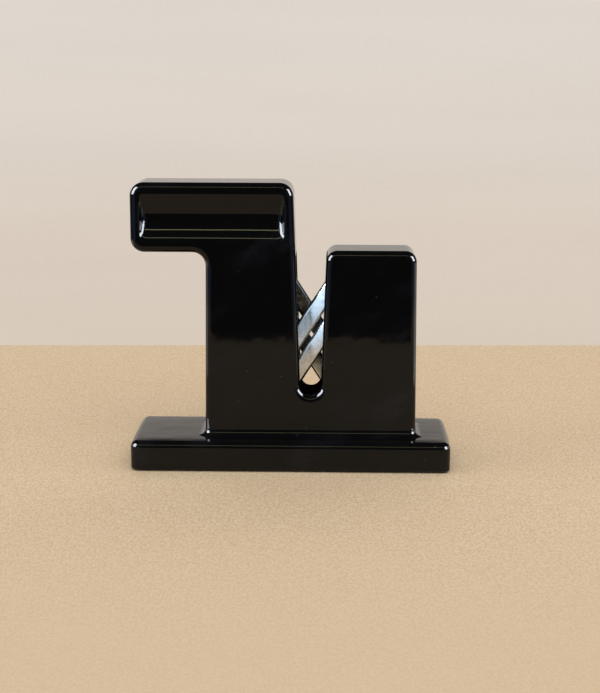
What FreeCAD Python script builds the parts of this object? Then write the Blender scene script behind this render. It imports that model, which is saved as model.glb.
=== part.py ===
import FreeCAD
import Part

import math
import os

# Pull-through knife sharpener: a one-piece cast housing with a scalloped handle, two crossed
# sprung steels in its slot, and a screwed cover with rubber feet underneath.
# Millimetres. X runs along the base, Y from the front to the back, Z up from the table.
# The origin is under the middle of the base. Angles are in degrees.

# Casting
BASE_LENGTH = 144.8
BASE_DEPTH = 50.0
BASE_HEIGHT = 13.0
BASE_END_BOW = 0.45
BASE_CORNER_RADIUS = 4.0
BASE_LOWER_RADIUS = 0.6
BODY_LEFT = -39.3
BODY_RIGHT = 57.2
BODY_DEPTH = 25.6
BODY_DRAFT = 0.5
HANDLE_INSET = 0.1
HANDLE_UNDERSIDE = 97.45
HANDLE_HEIGHT = 31.35
HANDLE_CORNER_RADIUS = 6.2
THROAT_RADIUS = 6.0
PILLAR_TOP = 98.5
PILLAR_CORNER_RADIUS = 5.0
EDGE_RADIUS = 3.0
ROOT_RADIUS = 3.2
WALL = 2.5
CORE_RADIUS = 2.0

# Knife slot
SLOT_CENTRE = 8.9
SLOT_FLOOR = 32.0
SLOT_RADIUS = 4.7
SLOT_LEAN = 2.1
LIP_REACH = 1.0

# Finger grips, one on each face of the handle
GRIP_MARGIN = 3.3
GRIP_RISE = 15.6
GRIP_HEIGHT = 23.5
GRIP_DEPTH = 3.7
GRIP_END_RUN = 4.6
GRIP_RIM_SHARE = 0.34
GRIP_STEP = 1.2
GRIP_END_STEP = 0.6
# The grip's surface starts this far outside the face, so that it meets the face at a small angle.
GRIP_LIFT = 0.06

# Steels
STEEL_WIDTH = 16.4
STEEL_THICKNESS = 3.0
STEEL_LEAN = 32.5
STEEL_CROSSING = 58.3
STEEL_PIVOT_REACH = 41.0
STEEL_END_ROOM = 6.5
STEEL_EDGE_RADIUS = 1.2
STEEL_END_RADIUS = 3.0
STEEL_SPACING = 0.6
LIMB_GAP = 1.6
LIMB_GAP_FROM_PIVOT = 9.0
LIMB_GAP_FROM_END = 7.0

# Pivots
PIN_DIAMETER = 4.0
PIN_CHAMFER = 0.4
SADDLE_WIDTH = 11.0
SADDLE_DEPTH = 2.2
SLEEVE_DIAMETER = 7.0
WASHER_DIAMETER = 10.0
WASHER_THICKNESS = 0.8

# Torsion springs
SPRING_WIRE = 1.2
SPRING_TURNS = 3
SPRING_HOOK_IN = 3.0
SPRING_HOOK_BEND = 1.3
SPRING_HOOK_TAIL = 0.8
SPRING_STAY_RISE = 3.3

# Cover, its screws and the feet
COVER_THICKNESS = 2.4
COVER_RAISE = 0.3
BOSS_DIAMETER = 8.0
SCREW_DIAMETER = 4.0
SCREW_LENGTH = 9.0
SCREW_HEAD_DIAMETER = 7.6
SCREW_HEAD_HEIGHT = 1.9
SCREW_TIP = 1.2
SCREW_FROM_END = 26.0
SCREW_FROM_SIDE = 9.0
DRIVE_WIDTH = 1.0
DRIVE_LENGTH = 4.4
DRIVE_DEPTH = 1.2
FOOT_DIAMETER = 12.0
FOOT_PROUD = 0.8
FOOT_RECESS = 0.9
FOOT_EDGE_RADIUS = 0.5
FOOT_END_BORDER = 2.2
FOOT_SIDE_BORDER = 1.2

# Clearances
RUNNING_CLEARANCE = 0.05
SIDE_CLEARANCE = 0.15
SEAT_CLEARANCE = 0.2
SPRING_CLEARANCE = 0.3
COVER_CLEARANCE = 0.3
OVERRUN = 5.0
TOLERANCE = 0.001

# Heights from the table
RIM_Z = FOOT_PROUD
BASE_TOP_Z = RIM_Z + BASE_HEIGHT
HANDLE_UNDERSIDE_Z = RIM_Z + HANDLE_UNDERSIDE
HANDLE_TOP_Z = HANDLE_UNDERSIDE_Z + HANDLE_HEIGHT
PILLAR_TOP_Z = RIM_Z + PILLAR_TOP
SLOT_FLOOR_Z = RIM_Z + SLOT_FLOOR
CROSSING_Z = RIM_Z + STEEL_CROSSING
COVER_Z = RIM_Z + COVER_RAISE
COVER_TOP_Z = COVER_Z + COVER_THICKNESS

# Derived places
HANDLE_LEFT = HANDLE_INSET - BASE_LENGTH / 2
BODY_HALF = BODY_DEPTH / 2
CORE_HALF = BODY_HALF - WALL
SLOT_ROUND_Z = SLOT_FLOOR_Z + SLOT_RADIUS
STEEL_FRONT_Y = -STEEL_SPACING / 2 - STEEL_THICKNESS
STEEL_BACK_Y = -STEEL_SPACING / 2
SADDLE_Y = CORE_HALF - SADDLE_DEPTH
SPRING_FAR_Y = SADDLE_Y - SPRING_CLEARANCE - SPRING_WIRE / 2
WASHER_FRONT_Y = STEEL_FRONT_Y - SIDE_CLEARANCE
WASHER_BACK_Y = STEEL_BACK_Y + SIDE_CLEARANCE
LEAN_SINE = math.sin(math.radians(STEEL_LEAN))
LEAN_COSINE = math.cos(math.radians(STEEL_LEAN))
STEEL_END_Z = PILLAR_TOP_Z - WALL - STEEL_END_ROOM
STEEL_FREE_REACH = (STEEL_END_Z - CROSSING_Z - STEEL_WIDTH / 2 * LEAN_SINE) / LEAN_COSINE
PIVOT_X = SLOT_CENTRE - STEEL_PIVOT_REACH * LEAN_SINE
PIVOT_Z = CROSSING_Z - STEEL_PIVOT_REACH * LEAN_COSINE
COVER_MARGIN = WALL + COVER_CLEARANCE
FOOT_FROM_END = COVER_MARGIN + FOOT_END_BORDER + FOOT_DIAMETER / 2
FOOT_FROM_SIDE = COVER_MARGIN + FOOT_SIDE_BORDER + FOOT_DIAMETER / 2


def vec(x, y, z):
    return FreeCAD.Vector(x, y, z)


def body_left(z):
    """The upright's left face at a height."""
    return BODY_LEFT + (z - BASE_TOP_Z) * math.tan(math.radians(BODY_DRAFT))


def body_right(z):
    """The upright's right face at a height."""
    return BODY_RIGHT - (z - BASE_TOP_Z) * math.tan(math.radians(BODY_DRAFT))


def slot_half(z, grow=0.0):
    """Half the slot's width at a height, with its walls set back by grow."""
    lean = math.radians(SLOT_LEAN)
    return (SLOT_RADIUS + grow) / math.cos(lean) + (z - SLOT_ROUND_Z) * math.tan(lean)


def slot_apex(grow=0.0):
    """Height at which the slot's two leaning walls would meet."""
    return SLOT_ROUND_Z - (SLOT_RADIUS + grow) / math.sin(math.radians(SLOT_LEAN))


def web_underside():
    """Height where a resting steel's upper edge meets the inner corner of a web."""
    steel_slope = LEAN_COSINE / LEAN_SINE
    wall_slope = math.tan(math.radians(SLOT_LEAN))
    edge_z = CROSSING_Z + STEEL_WIDTH / 2 / LEAN_SINE
    wall_half = slot_half(0, WALL)
    return (edge_z + steel_slope * wall_half) / (1 - steel_slope * wall_slope) + SEAT_CLEARANCE


def corner_arc(before, corner, after, radius):
    """Start, middle and end of the arc that rounds a corner, as (x, z) pairs."""
    ax, az = before[0] - corner[0], before[1] - corner[1]
    bx, bz = after[0] - corner[0], after[1] - corner[1]
    a_long, b_long = math.hypot(ax, az), math.hypot(bx, bz)
    ax, az, bx, bz = ax / a_long, az / a_long, bx / b_long, bz / b_long
    half_angle = math.acos(max(-1, min(1, ax * bx + az * bz))) / 2
    tangent = radius / math.tan(half_angle)
    mx, mz = ax + bx, az + bz
    m_long = math.hypot(mx, mz)
    to_middle = radius / math.sin(half_angle) - radius
    start = (corner[0] + ax * tangent, corner[1] + az * tangent)
    middle = (corner[0] + mx / m_long * to_middle, corner[1] + mz / m_long * to_middle)
    end = (corner[0] + bx * tangent, corner[1] + bz * tangent)
    return start, middle, end


def outline(corners, y):
    """Closed wire in a plane of constant y through corners (x, z, radius)."""
    count = len(corners)
    spans = []
    for i, (x, z, radius) in enumerate(corners):
        if radius:
            spans.append(corner_arc(corners[i - 1], (x, z), corners[(i + 1) % count], radius))
        else:
            spans.append(((x, z),))
    edges = []
    for i, span in enumerate(spans):
        points = [vec(x, y, z) for x, z in span]
        if len(points) > 1:
            edges.append(Part.Arc(*points).toShape())
        x, z = spans[(i + 1) % count][0]
        following = vec(x, y, z)
        if points[-1].distanceToPoint(following) > TOLERANCE:
            edges.append(Part.LineSegment(points[-1], following).toShape())
    return Part.Wire(edges)


def prism(corners, y_low, y_high):
    """Solid with that outline between two values of y."""
    face = Part.Face(outline(corners, y_low))
    return face.extrude(vec(0, y_high - y_low, 0))


def slab(length, depth, radius, z_low, z_high):
    """Upright block centred on the origin, rounded at its four vertical edges."""
    block = Part.makeBox(length, depth, z_high - z_low, vec(-length / 2, -depth / 2, z_low))
    upright = [e for e in block.Edges if e.BoundBox.ZLength > TOLERANCE]
    return block.makeFillet(radius, upright)


def edges_at_height(shape, z):
    """Edges that lie flat at one height."""
    return [e for e in shape.Edges
            if abs(e.BoundBox.ZMin - z) < TOLERANCE and abs(e.BoundBox.ZMax - z) < TOLERANCE]


def cylinder_z(radius, x, y, z_low, z_high):
    return Part.makeCylinder(radius, z_high - z_low, vec(x, y, z_low))


def cylinder_y(radius, x, z, y_low, y_high):
    return Part.makeCylinder(radius, y_high - y_low, vec(x, y_low, z), vec(0, 1, 0))


def opposite(shape):
    """The same piece turned half round the slot's upright axis, for the rear steel's side."""
    turned = shape.copy()
    turned.rotate(vec(SLOT_CENTRE, 0, 0), vec(0, 0, 1), 180)
    return turned


def four_places(from_end, from_side):
    """Places near the four corners of the base, front left first."""
    x, y = BASE_LENGTH / 2 - from_end, BASE_DEPTH / 2 - from_side
    return {"front_left": (-x, -y), "front_right": (x, -y),
            "rear_left": (-x, y), "rear_right": (x, y)}


# Housing


def body_corners(inset, foot_z, handle):
    """Outline of the upright, or of its core set in by inset, from the foot round to the foot."""
    left_top = HANDLE_TOP_Z if handle else HANDLE_UNDERSIDE_Z
    left_top -= inset
    pillar_top = PILLAR_TOP_Z - inset
    corners = [(body_left(foot_z) + inset, foot_z, 0)]
    if handle:
        corners += [
            (body_left(HANDLE_UNDERSIDE_Z), HANDLE_UNDERSIDE_Z, THROAT_RADIUS),
            (HANDLE_LEFT, HANDLE_UNDERSIDE_Z, HANDLE_CORNER_RADIUS),
            (HANDLE_LEFT, left_top, HANDLE_CORNER_RADIUS),
        ]
        top_radius, pillar_radius = HANDLE_CORNER_RADIUS, PILLAR_CORNER_RADIUS
    else:
        corners.append((body_left(left_top) + inset, left_top, CORE_RADIUS))
        top_radius, pillar_radius = CORE_RADIUS, CORE_RADIUS
    corners += [
        (SLOT_CENTRE - slot_half(left_top, inset), left_top, top_radius),
        (SLOT_CENTRE, slot_apex(inset), SLOT_RADIUS + inset),
        (SLOT_CENTRE + slot_half(pillar_top, inset), pillar_top, pillar_radius),
        (body_right(pillar_top) - inset, pillar_top, pillar_radius),
        (body_right(foot_z) - inset, foot_z, 0),
    ]
    return corners


def base_block():
    """The base before its upper and lower edges are rounded; its ends bow out."""
    x, y = BASE_LENGTH / 2, BASE_DEPTH / 2
    right = Part.Arc(vec(x, -y, RIM_Z), vec(x + BASE_END_BOW, 0, RIM_Z), vec(x, y, RIM_Z)).toShape()
    back = Part.LineSegment(vec(x, y, RIM_Z), vec(-x, y, RIM_Z)).toShape()
    left = Part.Arc(vec(-x, y, RIM_Z), vec(-x - BASE_END_BOW, 0, RIM_Z), vec(-x, -y, RIM_Z)).toShape()
    front = Part.LineSegment(vec(-x, -y, RIM_Z), vec(x, -y, RIM_Z)).toShape()
    block = Part.Face(Part.Wire([right, back, left, front])).extrude(vec(0, 0, BASE_HEIGHT))
    corners = [e for e in block.Edges if e.BoundBox.ZLength > TOLERANCE]
    return block.makeFillet(BASE_CORNER_RADIUS, corners)


def casting_outside():
    """Upright with its handle on the base, all edges rounded, with a swept root between them."""
    foot_z = RIM_Z + BASE_HEIGHT / 2
    upright = prism(body_corners(0, foot_z, True), -BODY_HALF, BODY_HALF)
    rims = [e for e in upright.Edges
            if e.BoundBox.YLength < TOLERANCE and e.BoundBox.ZMax > foot_z + TOLERANCE]
    upright = upright.makeFillet(EDGE_RADIUS, rims)
    base = base_block()
    base = base.makeFillet(EDGE_RADIUS, edges_at_height(base, BASE_TOP_Z))
    base = base.makeFillet(BASE_LOWER_RADIUS, edges_at_height(base, RIM_Z))
    whole = upright.fuse(base).removeSplitter()
    root = [e for e in edges_at_height(whole, BASE_TOP_Z)
            if e.BoundBox.YMax < BODY_HALF + TOLERANCE and e.BoundBox.YMin > -BODY_HALF - TOLERANCE]
    return whole.makeFillet(ROOT_RADIUS, root)


def scallop(inward, reach):
    """Share of the grip's depth at a distance in from its rim: a rolled rim that runs into a hollow."""
    total = (GRIP_DEPTH ** 2 + reach ** 2) / (2 * GRIP_DEPTH)
    rim = total * GRIP_RIM_SHARE
    hollow = total - rim
    inward = max(0, min(reach, inward))
    if inward < reach * GRIP_RIM_SHARE:
        depth = rim - math.sqrt(rim ** 2 - inward ** 2)
    else:
        depth = GRIP_DEPTH - hollow + math.sqrt(hollow ** 2 - (reach - inward) ** 2)
    return depth / GRIP_DEPTH


def evenly(low, high, step):
    """Evenly spaced values from low to high, about a step apart."""
    count = math.ceil((high - low) / step)
    return [low + (high - low) * i / count for i in range(count + 1)]


def grip_cutters():
    """Scallop for the front face, in six patches: hollow sides, and ends that sweep up more quickly."""
    middle_z = HANDLE_UNDERSIDE_Z + GRIP_RISE
    half = GRIP_HEIGHT / 2
    left = HANDLE_LEFT + GRIP_MARGIN
    right = SLOT_CENTRE - slot_half(middle_z) - GRIP_MARGIN
    level_left, level_right = left + GRIP_END_RUN + GRIP_STEP, right - GRIP_END_RUN - GRIP_STEP
    xs = evenly(left - GRIP_STEP, level_left, GRIP_END_STEP)
    xs += evenly(level_left, level_right, GRIP_END_RUN)[1:-1]
    xs += evenly(level_right, right + GRIP_STEP, GRIP_END_STEP)
    zs = evenly(middle_z - half - GRIP_STEP, middle_z + half + GRIP_STEP, GRIP_STEP)
    rows = []
    for x in xs:
        end_share = scallop(min(x - left, right - x), GRIP_END_RUN)
        row = []
        for z in zs:
            share = end_share * scallop(half - abs(z - middle_z), half)
            row.append(vec(x, share * (GRIP_DEPTH + GRIP_LIFT) - BODY_HALF - GRIP_LIFT, z))
        rows.append(row)
    surface = Part.BSplineSurface()
    surface.interpolate(rows)
    left_u = surface.parameter(vec(level_left, GRIP_DEPTH - BODY_HALF, middle_z))[0]
    right_u = surface.parameter(vec(level_right, GRIP_DEPTH - BODY_HALF, middle_z))[0]
    low_u, high_u, low_v, high_v = surface.bounds()
    middle_v = (low_v + high_v) / 2
    patches = []
    for u_from, u_to in ((low_u, left_u), (left_u, right_u), (right_u, high_u)):
        for v_from, v_to in ((low_v, middle_v), (middle_v, high_v)):
            patch = surface.copy()
            patch.segment(u_from, u_to, v_from, v_to)
            patches.append(patch.toShape().extrude(vec(0, -OVERRUN, 0)))
    return patches


def cut_grips(casting):
    """Both finger grips."""
    front = grip_cutters()
    back = [patch.mirror(vec(0, 0, 0), vec(0, 1, 0)) for patch in front]
    return casting.cut(front + back)


def inner_core():
    """Space inside the casting, drawn out downwards: both pillars, the tray and the grip's middle."""
    pillars = prism(body_corners(WALL, RIM_Z, False), -CORE_HALF, CORE_HALF)
    tray_length, tray_depth = BASE_LENGTH - 2 * WALL, BASE_DEPTH - 2 * WALL
    tray = slab(tray_length, tray_depth, CORE_RADIUS, RIM_Z - OVERRUN, BASE_TOP_Z - WALL)
    grip_half = CORE_HALF - GRIP_DEPTH
    grip_top = HANDLE_TOP_Z - EDGE_RADIUS - WALL
    low_z = HANDLE_UNDERSIDE_Z - WALL - CORE_RADIUS
    grip_left = body_left(low_z) + WALL
    grip = prism([(grip_left, low_z, 0), (grip_left, grip_top, CORE_RADIUS),
                  (SLOT_CENTRE - slot_half(grip_top, WALL), grip_top, CORE_RADIUS),
                  (SLOT_CENTRE - slot_half(low_z, WALL), low_z, 0)], -grip_half, grip_half)
    return pillars.fuse(tray).fuse(grip)


def slot_hollow():
    """Space between the front and back walls at the slot: open to both pillars under the webs that
    stop the steels, and set back behind the slot's lips above."""
    web_z, high_z = web_underside(), PILLAR_TOP_Z - WALL
    half = slot_half(web_z, WALL)
    space = Part.makeBox(2 * half, 2 * CORE_HALF, web_z - RIM_Z,
                         vec(SLOT_CENTRE - half, -CORE_HALF, RIM_Z))
    low_half, high_half = slot_half(web_z, LIP_REACH), slot_half(high_z, LIP_REACH)
    behind_lips = prism([(SLOT_CENTRE - low_half, web_z, 0), (SLOT_CENTRE - high_half, high_z, 0),
                         (SLOT_CENTRE + high_half, high_z, 0), (SLOT_CENTRE + low_half, web_z, 0)],
                        -CORE_HALF, CORE_HALF)
    return space.fuse(behind_lips)


def spring_rib():
    """Rib behind the back wall's left lip, under the web, that the left spring's stay leg bears on."""
    low_z, high_z = SLOT_ROUND_Z, web_underside()
    corners = [(SLOT_CENTRE - slot_half(z, back), z, 0)
               for z, back in ((low_z, WALL), (high_z, WALL), (high_z, LIP_REACH), (low_z, LIP_REACH))]
    return prism(corners, SPRING_FAR_Y - SPRING_WIRE, CORE_HALF)


def saddles():
    """Two upright blocks on the inner walls that carry the ends of the front steel's pin."""
    top_radius = SADDLE_WIDTH / 2
    bore = PIN_DIAMETER / 2 + RUNNING_CLEARANCE
    foot_z = BASE_TOP_Z - WALL
    blocks = []
    for low, high in ((-CORE_HALF - WALL / 2, -SADDLE_Y), (SADDLE_Y, CORE_HALF + WALL / 2)):
        block = Part.makeBox(SADDLE_WIDTH, high - low, PIVOT_Z - foot_z,
                             vec(PIVOT_X - top_radius, low, foot_z))
        block = block.fuse(cylinder_y(top_radius, PIVOT_X, PIVOT_Z, low, high))
        inner_low, inner_high = max(low, -CORE_HALF), min(high, CORE_HALF)
        block = block.cut(cylinder_y(bore, PIVOT_X, PIVOT_Z, inner_low, inner_high))
        block = block.cut(Part.makeBox(2 * bore, inner_high - inner_low, PIVOT_Z - RIM_Z,
                                       vec(PIVOT_X - bore, inner_low, RIM_Z)))
        blocks.append(block)
    return blocks


def screw_bosses():
    """Posts under the base's top that the cover is screwed to."""
    bosses = []
    for x, y in four_places(SCREW_FROM_END, SCREW_FROM_SIDE).values():
        boss = cylinder_z(BOSS_DIAMETER / 2, x, y, COVER_TOP_Z, BASE_TOP_Z - WALL / 2)
        hole = cylinder_z(SCREW_DIAMETER / 2 + RUNNING_CLEARANCE, x, y,
                          COVER_Z, COVER_Z + SCREW_LENGTH + SEAT_CLEARANCE)
        bosses.append((boss, hole))
    return bosses


def housing():
    """The enamelled casting."""
    casting = cut_grips(casting_outside())
    casting = casting.cut(inner_core()).cut(slot_hollow())
    front = saddles() + [spring_rib()]
    for block in front + [opposite(b) for b in front]:
        casting = casting.fuse(block)
    for boss, hole in screw_bosses():
        casting = casting.fuse(boss).cut(hole)
    return casting.removeSplitter()


# Steels and their pivots


def front_steel():
    """Hardened plate of two limbs that leans to the right, pivoted at its lower end."""
    half = STEEL_WIDTH / 2
    length = STEEL_PIVOT_REACH + STEEL_FREE_REACH
    low, high = STEEL_FRONT_Y, STEEL_BACK_Y
    plate = prism([(-half, 0, 0), (-half, length, STEEL_END_RADIUS),
                   (half, length, STEEL_END_RADIUS), (half, 0, 0)], low, high)
    plate = plate.fuse(cylinder_y(half, 0, 0, low, high)).removeSplitter()
    gap_half = LIMB_GAP / 2
    gap_low, gap_high = LIMB_GAP_FROM_PIVOT, length - LIMB_GAP_FROM_END
    gap = Part.makeBox(LIMB_GAP, high - low, gap_high - gap_low, vec(-gap_half, low, gap_low))
    for z in (gap_low, gap_high):
        gap = gap.fuse(cylinder_y(gap_half, 0, z, low, high))
    plate = plate.cut(gap.removeSplitter())
    rims = [e for e in plate.Edges if e.BoundBox.YLength < TOLERANCE]
    plate = plate.makeFillet(STEEL_EDGE_RADIUS, rims)
    plate = plate.cut(cylinder_y(PIN_DIAMETER / 2 + RUNNING_CLEARANCE, 0, 0, low, high))
    plate.rotate(vec(0, 0, 0), vec(0, 1, 0), STEEL_LEAN)
    plate.translate(vec(PIVOT_X, 0, PIVOT_Z))
    return plate


def left_pin():
    """Pivot pin with chamfered ends, carried in the saddles of both walls."""
    half = CORE_HALF - SEAT_CLEARANCE
    pin = cylinder_y(PIN_DIAMETER / 2, PIVOT_X, PIVOT_Z, -half, half)
    rims = [e for e in pin.Edges if e.BoundBox.YLength < TOLERANCE]
    return pin.makeChamfer(PIN_CHAMFER, rims)


def ring(diameter, y_low, y_high):
    """Tube or washer that runs on the front steel's pin."""
    outer = cylinder_y(diameter / 2, PIVOT_X, PIVOT_Z, y_low, y_high)
    bore = PIN_DIAMETER / 2 + RUNNING_CLEARANCE
    return outer.cut(cylinder_y(bore, PIVOT_X, PIVOT_Z, y_low, y_high))


def left_front_washer():
    return ring(WASHER_DIAMETER, WASHER_FRONT_Y - WASHER_THICKNESS, WASHER_FRONT_Y)


def left_rear_washer():
    return ring(WASHER_DIAMETER, WASHER_BACK_Y, WASHER_BACK_Y + WASHER_THICKNESS)


def left_spacer():
    return ring(SLEEVE_DIAMETER, SIDE_CLEARANCE - SADDLE_Y, WASHER_FRONT_Y - WASHER_THICKNESS)


def left_arbor():
    return ring(SLEEVE_DIAMETER, WASHER_BACK_Y + WASHER_THICKNESS, SADDLE_Y - SIDE_CLEARANCE)


# Springs


def on_circle(radius, angle, y):
    """Point round the front steel's pivot, with the angle counted from +X towards +Z."""
    return vec(PIVOT_X + radius * math.cos(angle), y, PIVOT_Z + radius * math.sin(angle))


def spring_route():
    """Path of the left spring's wire: stay leg, clockwise coil, leg to the steel and hook."""
    wire = SPRING_WIRE / 2
    mean = SLEEVE_DIAMETER / 2 + SPRING_CLEARANCE + wire
    near_y = WASHER_BACK_Y + WASHER_THICKNESS + SPRING_CLEARANCE + wire
    far_y = SPRING_FAR_Y
    stay_z = SLOT_ROUND_Z + SPRING_STAY_RISE
    stay_x = SLOT_CENTRE - slot_half(stay_z, WALL) - SPRING_CLEARANCE - wire
    stay_reach = math.hypot(stay_x - PIVOT_X, stay_z - PIVOT_Z)
    stay_angle = math.atan2(stay_z - PIVOT_Z, stay_x - PIVOT_X)
    hook_reach = LIMB_GAP_FROM_PIVOT + SPRING_HOOK_IN
    hook_angle = math.radians(90 - STEEL_LEAN)
    start = stay_angle - math.acos(mean / stay_reach)
    end = hook_angle + math.acos(mean / hook_reach)
    while end > start - 2 * math.pi * SPRING_TURNS:
        end -= 2 * math.pi
    halves = 8 * (SPRING_TURNS + 1)
    points = []
    for i in range(halves + 1):
        share = i / halves
        angle = start + share * (end - start)
        points.append(on_circle(mean, angle, far_y + share * (near_y - far_y)))
    edges = [Part.LineSegment(on_circle(stay_reach, stay_angle, far_y), points[0]).toShape()]
    for i in range(0, halves, 2):
        edges.append(Part.Arc(points[i], points[i + 1], points[i + 2]).toShape())
    hook = on_circle(hook_reach, hook_angle, near_y)
    along = (hook - points[-1]).normalize()
    back = vec(0, SPRING_HOOK_BEND, 0)
    bend_start = hook - along * SPRING_HOOK_BEND
    bend_end = hook - back
    bend_middle = bend_start - back + (along * SPRING_HOOK_BEND + back) * math.sqrt(0.5)
    tail = vec(hook.x, STEEL_FRONT_Y - SPRING_HOOK_TAIL, hook.z)
    edges.append(Part.LineSegment(points[-1], bend_start).toShape())
    edges.append(Part.Arc(bend_start, bend_middle, bend_end).toShape())
    edges.append(Part.LineSegment(bend_end, tail).toShape())
    return edges


def least_gap(edges):
    """Smallest free distance between stretches of a wire path that aren't neighbours."""
    points = []
    run = 0.0
    for e in edges:
        for p in e.discretize(12):
            if points:
                run += p.distanceToPoint(points[-1][1])
            points.append((run, p))
    apart = 3 * SPRING_WIRE
    gaps = [a.distanceToPoint(b) for i, (s, a) in enumerate(points)
            for t, b in points[i + 1:] if t - s > apart]
    return min(gaps) - SPRING_WIRE


def left_spring():
    """Torsion spring round the arbor: one leg on its rib, the other hooked in the steel."""
    edges = spring_route()
    path = Part.Wire(edges)
    start = edges[0].Vertexes[0].Point
    heading = edges[0].Vertexes[1].Point - start
    circle = Part.Wire([Part.Circle(start, heading, SPRING_WIRE / 2).toShape()])
    spring = path.makePipeShell([circle], True, False)
    section = math.pi * SPRING_WIRE ** 2 / 4
    print(f"spring wire {path.Length:.1f} mm, volume {spring.Volume / (section * path.Length):.3f} of "
          f"section times length, least gap to itself {least_gap(edges):.2f} mm")
    return spring


# Cover, screws and feet


def cover():
    """Moulded cover that closes the casting, with posts that keep the pins in their saddles."""
    plate = slab(BASE_LENGTH - 2 * COVER_MARGIN, BASE_DEPTH - 2 * COVER_MARGIN, CORE_RADIUS,
                 COVER_Z, COVER_TOP_Z)
    post_top = PIVOT_Z - PIN_DIAMETER / 2 - RUNNING_CLEARANCE
    post_depth = SADDLE_DEPTH - 2 * SEAT_CLEARANCE
    post_width = PIN_DIAMETER + 2 * RUNNING_CLEARANCE - 2 * SEAT_CLEARANCE
    for y in (-SADDLE_Y - SEAT_CLEARANCE - post_depth, SADDLE_Y + SEAT_CLEARANCE):
        post = Part.makeBox(post_width, post_depth, post_top - COVER_Z,
                            vec(PIVOT_X - post_width / 2, y, COVER_Z))
        plate = plate.fuse(post).fuse(opposite(post))
    for x, y in four_places(FOOT_FROM_END, FOOT_FROM_SIDE).values():
        radius = FOOT_DIAMETER / 2 + COVER_CLEARANCE / 2
        plate = plate.cut(cylinder_z(radius, x, y, COVER_Z, COVER_Z + FOOT_RECESS))
    for x, y in four_places(SCREW_FROM_END, SCREW_FROM_SIDE).values():
        plate = plate.cut(screw_space(x, y))
    return plate.removeSplitter()


def screw_profile(grow):
    """Half section of a countersunk screw, head down, set out by grow, as (radius, height)."""
    shank, head = SCREW_DIAMETER / 2 + grow, SCREW_HEAD_DIAMETER / 2 + grow
    return [(0, 0), (head, 0), (shank, SCREW_HEAD_HEIGHT), (shank, SCREW_LENGTH - SCREW_TIP),
            (SCREW_DIAMETER / 4 + grow, SCREW_LENGTH), (0, SCREW_LENGTH)]


def revolved(profile, x, y, z):
    wire = Part.makePolygon([vec(x + r, y, z + h) for r, h in profile + profile[:1]])
    return Part.Face(wire).revolve(vec(x, y, z), vec(0, 0, 1), 360)


def screw_space(x, y):
    """Countersunk hole in the cover for a screw."""
    return revolved(screw_profile(RUNNING_CLEARANCE), x, y, COVER_Z)


def cover_screws():
    """Four countersunk screws with cross recesses."""
    screws = []
    for x, y in four_places(SCREW_FROM_END, SCREW_FROM_SIDE).values():
        screw = revolved(screw_profile(0), x, y, COVER_Z)
        for length, width in ((DRIVE_LENGTH, DRIVE_WIDTH), (DRIVE_WIDTH, DRIVE_LENGTH)):
            corner = vec(x - length / 2, y - width / 2, COVER_Z)
            screw = screw.cut(Part.makeBox(length, width, DRIVE_DEPTH, corner))
        screws.append(screw)
    return Part.makeCompound(screws)


def foot(x, y):
    """Rubber foot, a disc set in the cover with its lower rim rounded."""
    disc = cylinder_z(FOOT_DIAMETER / 2, x, y, 0, COVER_Z + FOOT_RECESS)
    return disc.makeFillet(FOOT_EDGE_RADIUS, edges_at_height(disc, 0))


def main():
    os.makedirs("parts", exist_ok=True)
    pieces = {
        "housing": housing(),
        "base_cover": cover(),
        "cover_screws": cover_screws(),
        "front_steel": front_steel(),
        "rear_steel": opposite(front_steel()),
        "left_pivot_pin": left_pin(),
        "right_pivot_pin": opposite(left_pin()),
        "left_front_washer": left_front_washer(),
        "right_front_washer": opposite(left_rear_washer()),
        "left_rear_washer": left_rear_washer(),
        "right_rear_washer": opposite(left_front_washer()),
        "left_spacer_sleeve": left_spacer(),
        "right_spacer_sleeve": opposite(left_spacer()),
        "left_spring_arbor": left_arbor(),
        "right_spring_arbor": opposite(left_arbor()),
        "left_torsion_spring": left_spring(),
    }
    pieces["right_torsion_spring"] = opposite(pieces["left_torsion_spring"])
    for place, (x, y) in four_places(FOOT_FROM_END, FOOT_FROM_SIDE).items():
        pieces[f"{place}_foot"] = foot(x, y)
    for name, shape in pieces.items():
        shape.exportStep(f"parts/{name}.step")
        print(f"{name}: {len(shape.Solids)} solid, {shape.Volume:.1f} mm3, valid {shape.isValid()}")


main()
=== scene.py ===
# %% [markdown]
# # A pull-through knife sharpener
# One glossy black casting stands on a long flat foot. Two hardened steels cross in its slot, and
# springs inside hold them together while a blade is drawn through the notch.
# The solid model comes in as a fixed frame, in metres, with its origin on the table under the
# middle of the foot. Everything below dresses that frame: it never moves or resizes it.

# %% Load the frame
import math

import bmesh
import bpy
from mathutils import Matrix, Vector


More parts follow.
